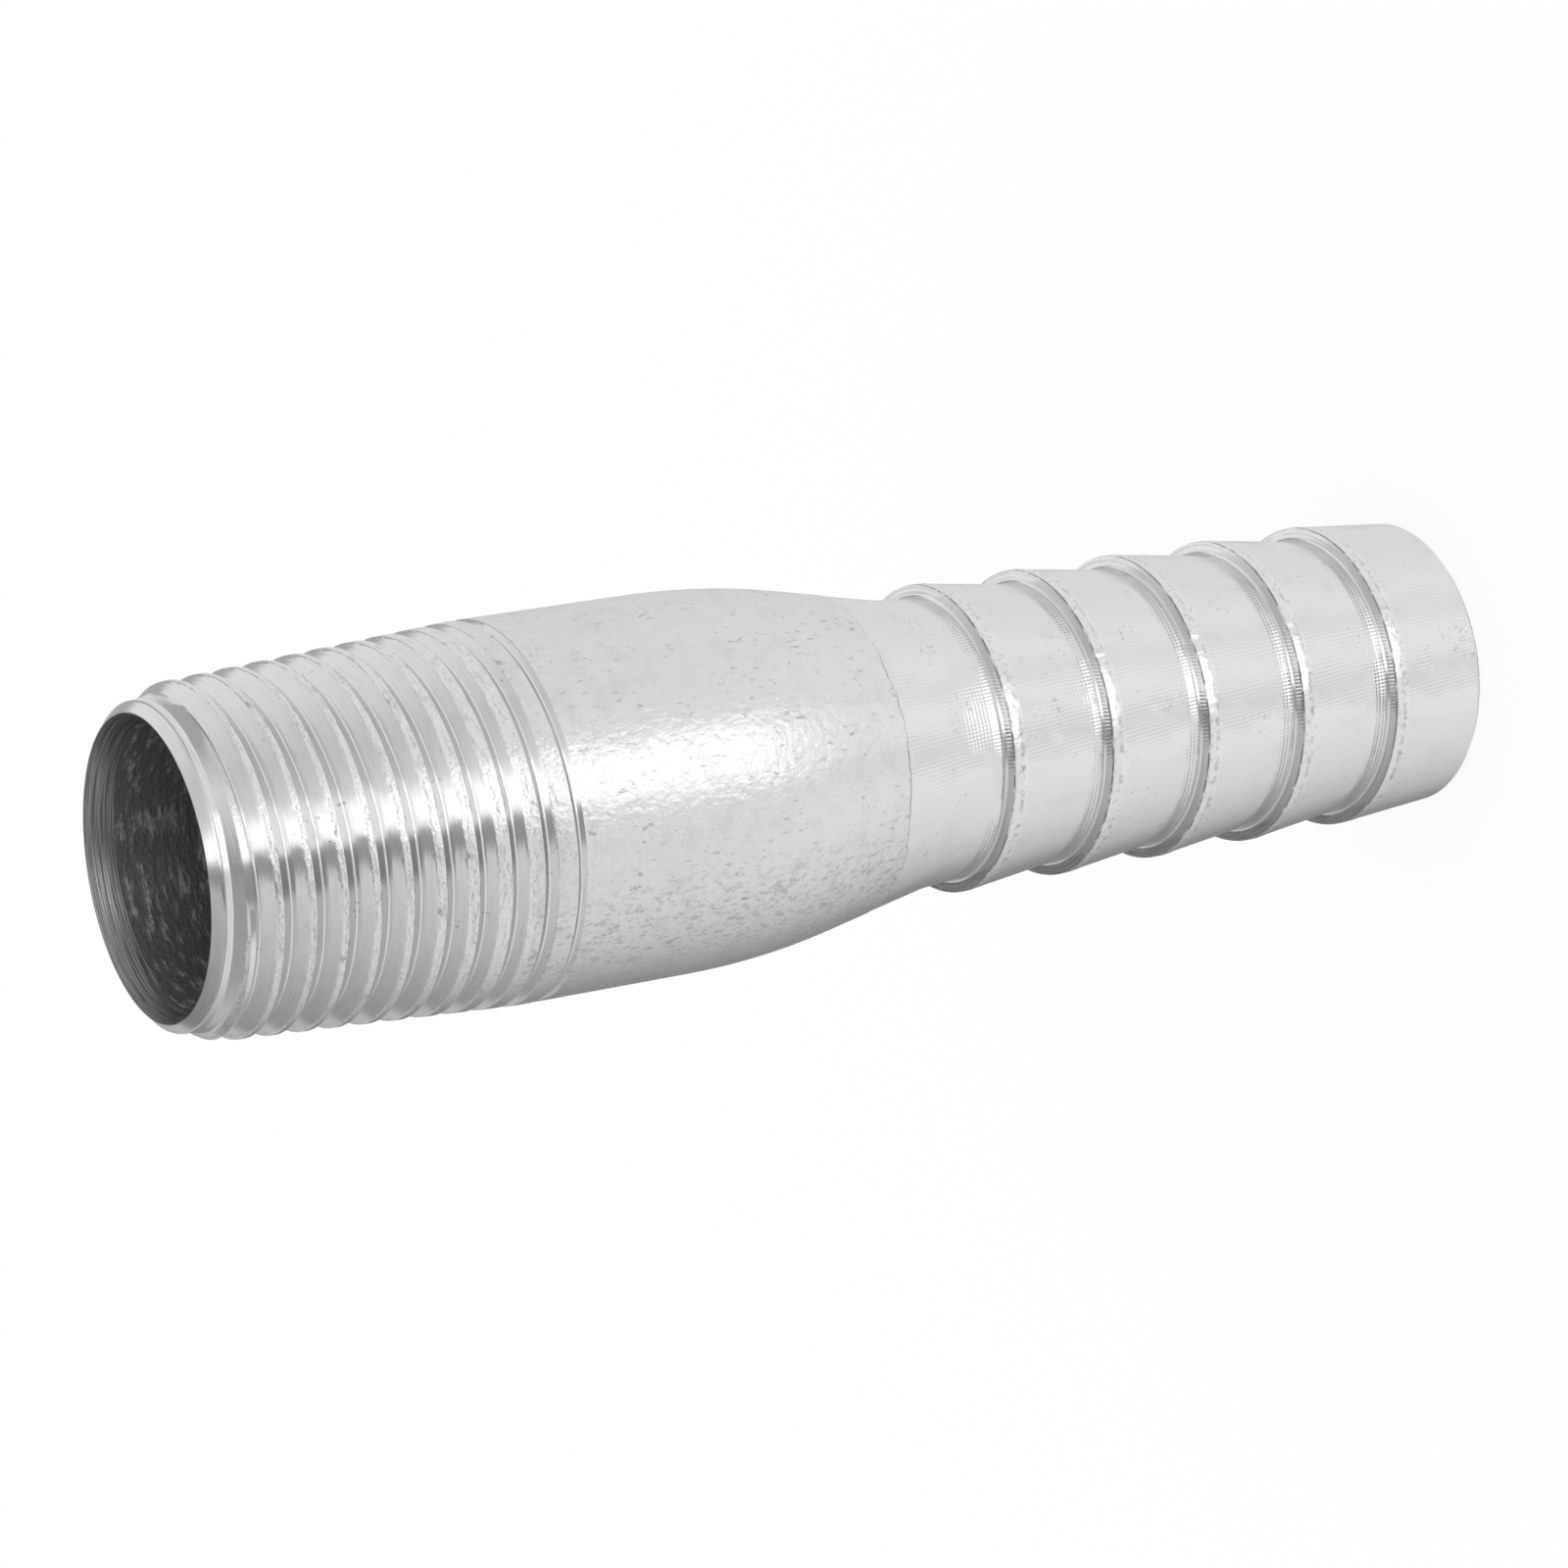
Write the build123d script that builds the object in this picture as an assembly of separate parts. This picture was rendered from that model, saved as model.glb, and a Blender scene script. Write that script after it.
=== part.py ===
from build123d import *
import math
import os

# Hose barb adapter: one length of steel pipe, threaded at one end, swaged down and turned to a barbed
# hose shank at the other. Sizes are in millimetres and degrees.
# The axis is +Z. The origin is the centre of the hose end's face, so the threaded mouth is at the top.
# Depths, drops, rises and walls are measured square to the axis.

# Pipe, to the 1/2 inch standard weight
pipe_diameter = 21.34
pipe_wall = 2.77
plain_length = 15.15

# Threaded end. The crests lie on a cone that starts below the pipe's skin, behind a smooth nose with a
# narrow ring at its lip, and comes out to the skin.
thread_length = 19.85
thread_start_depth = 0.97
first_flank_length = 0.55
nose_depth = 1.55
nose_length = 1.75
nose_ring_step = 0.15
nose_ring_length = 0.49
nose_edge_radius = 0.25
lip_bevel_angle = 47.0
lip_flat = 0.06
ream_depth = 0.46
ream_angle = 16.0

# Swage, from the pipe down to the start of the turned neck
swage_drop = 1.445
swage_angle = 12.0
swage_blend_radius = 42.0
bore_blend_radius = 24.0

# Turned neck and hose shank
turning_step = 0.05
neck_drop = 1.035
neck_angle = 14.2
neck_blend_radius = 7.0
neck_land = 2.65
shank_wall = 1.69

# Barbs: each has a nearly square step towards the thread, eased at its root, a land along its crest and
# a ramp that falls towards the hose end
barb_count = 5
barb_pitch = 6.54
barb_rise = 0.76
barb_land = 0.6
step_lean = 0.05
step_root_ease = 0.1

# Hose end
end_segment = 6.5
end_rise = 0.22
end_chamfer = 0.2
bore_chamfer = 0.3

# Radii, from the pipe inwards
pipe_radius = pipe_diameter / 2
thread_start_radius = pipe_radius - thread_start_depth
nose_radius = pipe_radius - nose_depth
nose_ring_radius = nose_radius - nose_ring_step
pipe_bore_radius = pipe_radius - pipe_wall
lip_radius = pipe_bore_radius + ream_depth
lip_outer_radius = lip_radius + lip_flat
swage_end_radius = pipe_radius - swage_drop
neck_radius = swage_end_radius - turning_step
root_radius = neck_radius - neck_drop
crest_radius = root_radius + barb_rise
end_radius = root_radius + end_rise
shank_bore_radius = root_radius - shank_wall

# Heights above the hose end
swage_slope = math.tan(math.radians(swage_angle))
neck_slope = math.tan(math.radians(neck_angle))
barb_heights = [end_segment + i * barb_pitch for i in range(barb_count)]
neck_foot = barb_heights[-1] + step_lean + step_root_ease + neck_land
neck_top = neck_foot + neck_drop / neck_slope
swage_top = neck_top + swage_drop / swage_slope
bore_cone_foot = swage_top - (pipe_bore_radius - shank_bore_radius) / swage_slope
thread_foot = swage_top + plain_length
total_length = thread_foot + thread_length
nose_foot = total_length - nose_length
bevel_depth = nose_ring_radius - lip_outer_radius
bevel_foot = total_length - bevel_depth / math.tan(math.radians(lip_bevel_angle))
ream_foot = total_length - ream_depth / math.tan(math.radians(ream_angle))


def blend(radius, turn, *runs):
    """The radius of a corner's arc, kept within nine tenths of the shorter of the runs it joins."""
    return min(radius, 0.9 * min(runs) / math.tan(math.radians(turn) / 2))


def barb_corners():
    """Radius, height and arc of each corner of the barbs, from the hose end up."""
    corners = []
    for height in barb_heights:
        corners.append((crest_radius, height - barb_land, 0))
        corners.append((crest_radius, height, 0))
        corners.append((root_radius + step_root_ease, height + step_lean, 0))
        corners.append((root_radius, height + step_lean + step_root_ease, 0))
    return corners


def outside():
    """Corners of the outside, from the hose end up to the lip of the mouth."""
    neck_arc = blend(neck_blend_radius, neck_angle, neck_land, neck_top - neck_foot)
    swage_arc = blend(swage_blend_radius, swage_angle, swage_top - neck_top, plain_length)
    ring_arc = blend(nose_edge_radius, lip_bevel_angle, bevel_depth, nose_ring_length / 2)
    return [
        (end_radius - end_chamfer, 0, 0),
        (end_radius, end_chamfer, 0),
        *barb_corners(),
        (root_radius, neck_foot, neck_arc),
        (neck_radius, neck_top, 0),
        (swage_end_radius, neck_top, 0),
        (pipe_radius, swage_top, swage_arc),
        (pipe_radius, thread_foot, 0),
        (thread_start_radius, nose_foot - first_flank_length, 0),
        (nose_radius, nose_foot, 0),
        (nose_ring_radius, bevel_foot - nose_ring_length, ring_arc),
        (nose_ring_radius, bevel_foot, ring_arc),
        (lip_outer_radius, total_length, 0),
    ]


def inside():
    """Corners of the bore, from the lip down to the hose end."""
    bore_arc = blend(bore_blend_radius, swage_angle, (swage_top - bore_cone_foot) / 2)
    return [
        (lip_radius, total_length, 0),
        (pipe_bore_radius, ream_foot, 0),
        (pipe_bore_radius, swage_top, bore_arc),
        (shank_bore_radius, bore_cone_foot, bore_arc),
        (shank_bore_radius, bore_chamfer, 0),
        (shank_bore_radius + bore_chamfer, 0, 0),
    ]


def hose_nipple():
    """The whole adapter: its half section turned about the axis."""
    section = outside() + inside()
    with BuildPart() as nipple:
        with BuildSketch(Plane.XZ):
            with BuildLine():
                FilletPolyline(
                    [(radius, height) for radius, height, _ in section],
                    radius=[arc for _, _, arc in section],
                    close=True,
                )
            make_face()
        revolve(axis=Axis.Z)
    return nipple.part


os.makedirs("parts", exist_ok=True)
export_step(hose_nipple(), "parts/hose_nipple.step")
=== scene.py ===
"""Finish of a hose barb adapter: pipe thread, rolled pipe body, swage, turned neck and barbed hose shank."""

import math

import bpy
import numpy as np
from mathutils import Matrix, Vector, noise


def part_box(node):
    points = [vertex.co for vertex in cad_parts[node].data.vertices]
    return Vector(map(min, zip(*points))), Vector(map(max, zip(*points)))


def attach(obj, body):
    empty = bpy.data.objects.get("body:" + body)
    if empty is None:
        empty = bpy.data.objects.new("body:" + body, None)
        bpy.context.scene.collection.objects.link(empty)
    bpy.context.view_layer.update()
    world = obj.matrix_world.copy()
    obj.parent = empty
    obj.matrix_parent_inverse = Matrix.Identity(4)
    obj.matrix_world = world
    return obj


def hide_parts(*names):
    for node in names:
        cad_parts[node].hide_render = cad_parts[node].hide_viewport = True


bl_info = {
    "name": "Hose barb adapter",
    "version": (1, 0, 0),
    "blender": (4, 5, 0),
    "location": "View3D > Sidebar > Adapter",
    "description": "Models a plated steel hose barb adapter and its studio",
    "category": "Object",
}

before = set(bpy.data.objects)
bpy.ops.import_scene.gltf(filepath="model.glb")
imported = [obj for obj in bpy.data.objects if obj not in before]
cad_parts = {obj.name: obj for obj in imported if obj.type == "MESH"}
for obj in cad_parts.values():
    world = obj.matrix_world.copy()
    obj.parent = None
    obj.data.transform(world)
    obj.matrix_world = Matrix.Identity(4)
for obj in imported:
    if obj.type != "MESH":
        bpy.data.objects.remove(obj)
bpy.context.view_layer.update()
NODE = "hose_nipple"
# a hair inside the solid's box, which touches the pipe's flats and not its full circle
HAIR = 0.000002
PIPE_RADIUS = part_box(NODE)[1].y - HAIR
TOTAL_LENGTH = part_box(NODE)[1].z - HAIR
SEGMENTS = 360
# vertices closer than this are one
WELD = 1e-5
# a point this close to a plane lies on it
TOUCH = 1e-7
# how far the thread's strip reaches past the nose's foot and past the end of the crests' cone
STRIP_ABOVE = 0.0004
STRIP_BELOW = 0.0021
# gap between the strip and the turned surfaces beside it, closed by a bridge
STRIP_GAP = 0.00012
# how far past the strip's ends the bridge looks for the other side of the gap
BRIDGE_REACH = 0.0002


def length(name, description, default):
    """A length in metres."""
    return bpy.props.FloatProperty(
        name=name, description=description, default=default, unit="LENGTH", precision=5
    )


def angle(name, description, degrees):
    """An angle, kept in radians."""
    return bpy.props.FloatProperty(
        name=name, description=description, default=math.radians(degrees), subtype="ANGLE"
    )


def share(name, description, default):
    """A plain number from 0 to 1."""
    return bpy.props.FloatProperty(
        name=name, description=description, default=default, min=0, max=1, subtype="FACTOR"
    )


def grey(name, description, level):
    """A neutral colour in linear light."""
    return bpy.props.FloatVectorProperty(
        name=name, description=description, default=(level, level, level), subtype="COLOR"
    )


class AdapterBody(bpy.types.PropertyGroup):
    """Pipe body, mouth, swage and neck"""

    wall: length("Pipe wall", "Wall of the pipe", 0.00277)
    ream_depth: length("Ream depth", "How much wider the lip is than the bore", 0.00046)
    ream_angle: angle("Ream angle", "Slope of the reamed mouth", 16)
    lip_flat: length("Lip flat", "Width of the mouth's flat edge", 0.00006)
    lip_bevel_angle: angle("Lip bevel", "Slope of the lip's outer bevel", 47)
    lip_edge: length("Lip edge", "Rounding of the lip's ring", 0.00025)
    nose_depth: length("Nose depth", "Nose below the pipe's skin", 0.00155)
    nose_length: length("Nose length", "Smooth length before the thread", 0.00175)
    ring_step: length("Ring step", "Lip's ring below the nose", 0.00015)
    ring_length: length("Ring length", "Length of the lip's ring", 0.00049)
    thread_length: length("Thread length", "Mouth to the end of the crests' cone", 0.01985)
    thread_start_depth: length("Thread start", "First crest below the pipe's skin", 0.00097)
    first_flank: length("First flank", "Length of the first flank", 0.00055)
    plain_length: length("Plain length", "Pipe between thread and swage", 0.01515)
    swage_drop: length("Swage drop", "How far the swage comes down", 0.001445)
    swage_angle: angle("Swage angle", "Slope of the swage", 12)
    swage_bend: length("Swage bend", "Radius of the swage's shoulder", 0.042)
    bore_bend: length("Bore bend", "Radius of the bends in the bore", 0.024)
    turning_step: length("Turning step", "Step where the turned neck starts", 0.00005)
    turning_wander: length("Turning wander", "How far the skin's end wanders", 0.00022)
    neck_drop: length("Neck drop", "How far the neck comes down", 0.001035)
    neck_angle: angle("Neck angle", "Slope of the neck", 14.2)
    neck_bend: length("Neck bend", "Radius of the neck's foot", 0.007)
    neck_tail: length("Neck tail", "Rise of the neck's tail above the shank's root", 0.0002)
    shank_wall: length("Shank wall", "Wall of the hose shank", 0.00169)


class AdapterThread(bpy.types.PropertyGroup):
    """Right-hand pipe thread, with grooves that run out towards the body"""

    pitch: length("Pitch", "Distance from crest to crest", 0.0018143)
    start: length("Start", "Mouth to the first root, at the front", 0.0023)
    depth: length("Depth", "Depth of a full groove", 0.00064)
    half_width: length("Half width", "Root to crest along the axis", 0.00073)
    root: length("Root", "Width of a root", 0.0001)
    full_length: length("Full length", "Mouth to where the grooves start to run out", 0.009)
    last_groove: length("Last groove", "Mouth to where the last shallow groove ends", 0.0209)
    shallow: share("Shallow", "How much of its depth the last groove has lost", 0.71)
    ragged: length("Ragged crests", "How far torn crests stand back", 0.00003)


class AdapterBarbs(bpy.types.PropertyGroup):
    """Stepped barbs of the hose shank"""

    count: bpy.props.IntProperty(name="Barbs", description="Number of barbs", default=5)
    pitch: length("Pitch", "Distance from barb to barb", 0.00654)
    rise: length("Rise", "Height of a barb's step", 0.00076)
    land: length("Land", "Width of a barb's crest", 0.0006)
    lean: length("Lean", "Lean of a barb's step", 0.00005)
    root_ease: length("Root ease", "Ease at the foot of a step", 0.0001)
    foot_rise: length("Foot rise", "How far a ramp turns up again at the foot of a step", 0.00007)
    foot_run: length("Foot run", "Length over which a ramp turns up again", 0.0007)
    edge_width: length("Edge width", "Width of the worn edge of a crest", 0.00011)
    edge_drop: length("Edge drop", "Drop of the worn edge of a crest", 0.00003)
    lip_drop: length("Lip drop", "Height of the torn lip along a crest's lower edge", 0.000035)
    last: length("Last segment", "Hose end to the last barb", 0.0065)
    end_rise: length("End rise", "Hose end above the shank's root", 0.00022)
    chamfer: length("Chamfer", "Chamfers of the hose end", 0.0002)
    burr: length("Burr", "Roughness of the barbs' crests", 0.000036)
    ragged: length("Ragged lip", "How far the torn lip wanders", 0.0002)


class AdapterFinish(bpy.types.PropertyGroup):
    """Zinc plate over rolled, turned, threaded and scaled steel"""

    zinc: grey("Zinc", "Bright zinc plate", 0.72)
    # thin zinc, and also the dark colour of the shade painted on the skin's underside, on the lip's bevel
    # and below the barbs' lips
    thin_zinc: grey("Thin zinc", "Zinc where it is thin", 0.42)
    # the scale's colour is also the dark of the reflection painted along the barbs' crest edges
    scale: grey("Scale", "Dark scale in the bore", 0.16)
    skin_gloss: share("Skin roughness", "Roughness of the rolled skin", 0.27)
    torn_gloss: share("Torn roughness", "Roughness of torn crests", 0.2)
    faced_gloss: share("Faced roughness", "Roughness of the barbs' steps", 0.14)
    turned_gloss: share("Turned roughness", "Roughness of turned metal", 0.13)
    thread_gloss: share("Thread roughness", "Roughness of the thread's flanks", 0.10)
    bore_gloss: share("Bore roughness", "Roughness of the scaled bore", 0.5)


class AdapterStudio(bpy.types.PropertyGroup):
    """Camera, floor and light"""

    camera_place: bpy.props.FloatVectorProperty(
        name="Camera place", description="Where the camera stands", subtype="TRANSLATION",
        default=(0.0, -0.276029, 0.192386), precision=6,
    )
    camera_turn: bpy.props.FloatVectorProperty(
        name="Camera turn", description="How the camera is turned", subtype="EULER",
        default=tuple(math.radians(a) for a in (-16.92959, 60.09381, -109.11104)),
    )
    lens: bpy.props.FloatProperty(
        name="Lens", description="Focal length in millimetres", default=128.192
    )
    floor_radius: length("Floor radius", "Radius of the floor", 1.5)
    world_level: bpy.props.FloatProperty(
        name="Room light", description="Level of the soft light all round", default=1.0
    )
    shadow: share("Shadow", "How much of the floor's own shade shows", 0.12)
    tent_radius: length("Tent radius", "Radius of the tent", 3.0)


def clear_selection():
    """Nothing is selected and no object is being edited."""
    if bpy.context.object and bpy.context.object.mode != "OBJECT":
        bpy.ops.object.mode_set(mode="OBJECT")
    bpy.ops.object.select_all(action="DESELECT")


def run(start, end, count):
    """Points after start up to end, evenly spaced along a straight run of the section."""
    return [tuple(a + (b - a) * i / count for a, b in zip(start, end)) for i in range(1, count + 1)]


def bend(before, corner, after, radius, count):
    """Points of a rounded corner of the section."""
    p, c, q = (Vector(v) for v in (before, corner, after))
    into, out = (p - c).normalized(), (q - c).normalized()
    half = into.angle(out) / 2
    reach = radius / math.tan(half)
    centre = c + (into + out).normalized() * radius / math.sin(half)
    first, last = c + into * reach - centre, c + out * reach - centre
    turn = first.angle(last)
    points = []
    for i in range(count + 1):
        t = i / count
        a, b = math.sin((1 - t) * turn) / math.sin(turn), math.sin(t * turn) / math.sin(turn)
        points.append(tuple(centre + first * a + last * b))
    return points


# Small forms of the section, in metres: lean of a torn lip's underside, stretch of a ramp that the lip
# covers, lean of the step where the turning starts, and stretch of the swage kept apart above it
LIP_LEAN = 0.00002
LIP_STRETCH = 0.00036
TURNING_LEAN = 0.00008
COLLAR = 0.0006


class Section:
    """Radii and heights of the adapter's half section, in metres."""

    def __init__(self, body, thread, barbs):
        tan = math.tan
        self.body, self.thread, self.barbs = body, thread, barbs
        self.bore = PIPE_RADIUS - body.wall
        self.lip = self.bore + body.ream_depth
        self.nose = PIPE_RADIUS - body.nose_depth
        self.ring = self.nose - body.ring_step
        self.first_crest = PIPE_RADIUS - body.thread_start_depth
        self.swage_end = PIPE_RADIUS - body.swage_drop
        self.neck = self.swage_end - body.turning_step
        self.root = self.neck - body.neck_drop
        self.crest = self.root + barbs.rise
        self.end = self.root + barbs.end_rise
        self.shank_bore = self.root - body.shank_wall
        self.steps = [barbs.last + i * barbs.pitch for i in range(barbs.count)]
        self.thread_foot = TOTAL_LENGTH - body.thread_length
        self.swage_top = self.thread_foot - body.plain_length
        self.neck_top = self.swage_top - body.swage_drop / tan(body.swage_angle)
        self.neck_foot = self.neck_top - body.neck_drop / tan(body.neck_angle)
        self.nose_foot = TOTAL_LENGTH - body.nose_length
        self.ring_top = TOTAL_LENGTH - (self.ring - self.lip - body.lip_flat) / tan(body.lip_bevel_angle)
        self.ring_foot = self.ring_top - body.ring_length
        self.ream_foot = TOTAL_LENGTH - body.ream_depth / tan(body.ream_angle)
        self.bore_cone_foot = self.swage_top - (self.bore - self.shank_bore) / tan(body.swage_angle)
        self.screw_top = self.nose_foot + STRIP_ABOVE
        self.screw_foot = self.thread_foot - STRIP_BELOW

    def crest_cone(self, z):
        """Radius of the cone on which the thread's crests lie."""
        top = self.nose_foot - self.body.first_flank
        return PIPE_RADIUS - self.body.thread_start_depth * (z - self.thread_foot) / (top - self.thread_foot)

    def outside(self, z):
        """Radius of the body outside the grooves, from the lip's ring to the plain pipe."""
        nose = self.nose - (z - self.nose_foot) * self.body.ring_step / (self.ring_foot - self.nose_foot)
        flank = self.nose + (self.nose_foot - z) * (self.first_crest - self.nose) / self.body.first_flank
        taper = np.minimum(self.crest_cone(z), PIPE_RADIUS)
        return np.where(z > self.nose_foot, nose, np.minimum(flank, taper))

    def mouth_line(self):
        """Section from the lip down to the top of the thread."""
        lip, outer = (self.lip, TOTAL_LENGTH), (self.lip + self.body.lip_flat, TOTAL_LENGTH)
        ring_top, ring_foot = (self.ring, self.ring_top), (self.ring, self.ring_foot)
        height = self.screw_top + STRIP_GAP
        nose = (float(self.outside(height)), height)
        upper = bend(outer, ring_top, ring_foot, self.body.lip_edge, 4)
        lower = bend(ring_top, ring_foot, nose, self.body.lip_edge, 2)
        return [lip, outer, *upper, *lower, nose]

    def slope_into(self, before, n):
        """Ramp that falls from a point towards a step and turns up again at the step's foot."""
        b = self.barbs
        foot = Vector((self.root + b.foot_rise, self.steps[n] + b.lean + b.root_ease))
        corner = Vector((self.root, foot.y + b.foot_run / 2))
        fall = Vector(before) - corner
        start = corner + fall.normalized() * b.foot_run / 2
        curve = [start.lerp(corner, t).lerp(corner.lerp(foot, t), t) for t in (i / 5 for i in range(6))]
        return [tuple(point) for point in curve]

    def barb_lines(self):
        """Section of the barbs from the first foot down to the hose end's chamfer."""
        b = self.barbs
        points = []
        for n in reversed(range(b.count)):
            height = self.steps[n]
            wall = (self.root + b.foot_rise + b.root_ease, height + b.lean)
            edge, top = (self.crest - b.edge_drop, height), (self.crest, height - b.edge_width)
            land = (self.crest, height - b.land)
            under = (self.crest - b.lip_drop, height - b.land - LIP_LEAN)
            points += [wall, *run(wall, edge, 2), top, *run(top, land, 2), under]
            ramp = self.slope_into(under, n - 1) if n else [(self.end, b.chamfer)]
            strip = Vector(under).lerp(Vector(ramp[0]), LIP_STRETCH / (under[1] - ramp[0][1]))
            points += [*run(under, strip, 2), *run(strip, ramp[0], 3), *ramp[1:]]
        return points

    def shank_line(self):
        """Section from the foot of the thread down to the hose end and up the bore to the lip."""
        body, b = self.body, self.barbs
        pipe = (PIPE_RADIUS, self.screw_foot - STRIP_GAP)
        swage_top, swage_end = (PIPE_RADIUS, self.swage_top), (self.swage_end, self.neck_top)
        neck = (self.neck, self.neck_top - TURNING_LEAN)
        neck_foot = (self.root + body.neck_tail, self.neck_foot)
        tail = self.slope_into(neck_foot, b.count - 1)
        shoulder = bend(pipe, swage_top, swage_end, body.swage_bend, 7)
        foot = bend(neck, neck_foot, tail[0], body.neck_bend, 4)
        collar = (swage_end[0] + COLLAR * math.tan(body.swage_angle), swage_end[1] + COLLAR)
        points = [pipe, *run(pipe, shoulder[0], 2), *shoulder[1:], collar, *run(collar, swage_end, 2)]
        points += [neck, *run(neck, foot[0], 4), *foot[1:], *tail, *self.barb_lines()]
        low = (self.shank_bore, 1.5 * b.chamfer)
        points += [(self.end - b.chamfer, HAIR), (self.shank_bore + 1.5 * b.chamfer, HAIR), low]
        cone_foot, cone_top = (self.shank_bore, self.bore_cone_foot), (self.bore, self.swage_top)
        ream = (self.bore, self.ream_foot)
        points += bend(low, cone_foot, cone_top, body.bore_bend, 3)
        points += bend(cone_foot, cone_top, ream, body.bore_bend, 3)
        points += [ream, (self.lip, TOTAL_LENGTH)]
        return points


def draw_line(points):
    """A line through points of the section, drawn by extruding one vertex."""
    clear_selection()
    start = Vector((points[0][0], 0, points[0][1]))
    bpy.ops.mesh.primitive_plane_add(size=0.001, location=start)
    line = bpy.context.object
    bpy.ops.object.mode_set(mode="EDIT")
    bpy.ops.mesh.select_mode(type="VERT")
    bpy.ops.mesh.select_all(action="SELECT")
    bpy.ops.mesh.merge(type="CENTER")
    for before, after in zip(points, points[1:]):
        move = (after[0] - before[0], 0, after[1] - before[1])
        bpy.ops.mesh.extrude_vertices_move(TRANSFORM_OT_translate={"value": move})
    bpy.ops.object.mode_set(mode="OBJECT")
    bpy.ops.object.transform_apply(location=True, rotation=False, scale=False)
    return line


def merge_doubles():
    """Merges the vertices of the active piece that lie on each other."""
    bpy.ops.object.mode_set(mode="EDIT")
    bpy.ops.mesh.select_all(action="SELECT")
    bpy.ops.mesh.remove_doubles(threshold=WELD)
    bpy.ops.object.mode_set(mode="OBJECT")


def turn_line(points):
    """The surface that a line of the section sweeps in a full turn about the axis."""
    surface = draw_line(points)
    bpy.ops.object.mode_set(mode="EDIT")
    bpy.ops.mesh.select_all(action="SELECT")
    bpy.ops.mesh.spin(steps=SEGMENTS, angle=2 * math.pi, center=(0, 0, 0), axis=(0, 0, 1))
    bpy.ops.object.mode_set(mode="OBJECT")
    merge_doubles()
    return surface


# Rows of one pitch of the thread as shares of the pitch from the root: root, its edge, three rows
# up the flank, the crest's edge and the middle of the crest
FLANK_ROWS = (0.0, 0.03, 0.14, 0.28, 0.355, 0.40, 0.5)
ROW_TOLERANCE = 0.0005
# How far up the flank each row but the last lies, past 1 just beyond the crest's edge
FLANK_CLIMB = (0, 0, 0.33, 0.78, 0.96, 1.04)
# Share of its width that a fully spent groove has lost, and the length over which the last one ends
NARROWING = 0.82
LAST_RUN = 0.0006
# The grooves fade out over the nose's foot: where that starts below it, and its length
NOSE_FADE_START = 0.0002
NOSE_FADE = 0.0005
# Rows keep their height at the strip's square ends, and move freely from this far inside
END_FADE = 0.0004


def screw_strip(section):
    """A strip that winds along the thread, its rows parallel to the grooves, cut square at both ends."""
    thread = section.thread
    root = TOTAL_LENGTH - thread.start + thread.pitch / 4
    below = math.ceil((root - section.screw_foot) / thread.pitch) + 1
    turns = math.ceil((section.screw_top - section.screw_foot) / thread.pitch) + 2
    foot = root - below * thread.pitch
    rows = [*FLANK_ROWS, *(1 - row for row in reversed(FLANK_ROWS[:-1]))]
    strip = draw_line([(PIPE_RADIUS, foot + thread.pitch * row) for row in rows])
    screw = strip.modifiers.new("Turns", "SCREW")
    screw.axis = "Z"
    screw.angle = 2 * math.pi
    screw.screw_offset = thread.pitch
    screw.iterations = turns
    screw.steps = screw.render_steps = SEGMENTS
    bpy.ops.object.modifier_apply(modifier=screw.name)
    merge_doubles()
    bpy.ops.object.mode_set(mode="EDIT")
    for height, up in ((section.screw_top, 1), (section.screw_foot, -1)):
        bpy.ops.mesh.select_all(action="SELECT")
        bpy.ops.mesh.bisect(
            plane_co=(0, 0, height), plane_no=(0, 0, up), clear_outer=True, threshold=TOUCH
        )
    bpy.ops.object.mode_set(mode="OBJECT")
    return strip


def join_pieces(first, *others):
    """The pieces as one mesh."""
    clear_selection()
    for obj in (first, *others):
        obj.select_set(True)
    bpy.context.view_layer.objects.active = first
    bpy.ops.object.join()
    return first


def points_of(obj):
    """The piece's vertices, a row each."""
    co = np.empty(len(obj.data.vertices) * 3)
    obj.data.vertices.foreach_get("co", co)
    return co.reshape(-1, 3)


def bridge_gap(obj, low, high):
    """Closes the gap between the two open rings that lie between two heights."""
    bpy.ops.object.mode_set(mode="EDIT")
    bpy.ops.mesh.select_mode(type="EDGE")
    bpy.ops.mesh.select_all(action="SELECT")
    bpy.ops.mesh.region_to_loop()
    bpy.ops.object.mode_set(mode="OBJECT")
    mesh = obj.data
    z = points_of(obj)[:, 2]
    inside = (z > low) & (z < high)
    chosen = [e.select and all(inside[i] for i in e.vertices) for e in mesh.edges]
    mesh.vertices.foreach_set("select", np.zeros(len(mesh.vertices), bool))
    mesh.edges.foreach_set("select", chosen)
    for edge in mesh.edges:
        if edge.select:
            for i in edge.vertices:
                mesh.vertices[i].select = True
    bpy.ops.object.mode_set(mode="EDIT")
    bpy.ops.mesh.bridge_edge_loops()
    bpy.ops.object.mode_set(mode="OBJECT")


def set_points(obj, turn, radius, z):
    """Moves the piece's vertices to an angle, a radius and a height each."""
    co = np.column_stack([radius * np.cos(turn), radius * np.sin(turn), z])
    obj.data.vertices.foreach_set("co", co.ravel())
    obj.data.update()


def ripple(turn, z, fine, seed=0.0):
    """Smooth noise from -1 to 1 round the axis and along it, with a wavelength of 1 / fine metres."""
    x, y = np.cos(turn) * 0.01 * fine, np.sin(turn) * 0.01 * fine
    return np.array([noise.noise((a + seed, b, c)) for a, b, c in zip(x, y, z * fine)])


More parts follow.
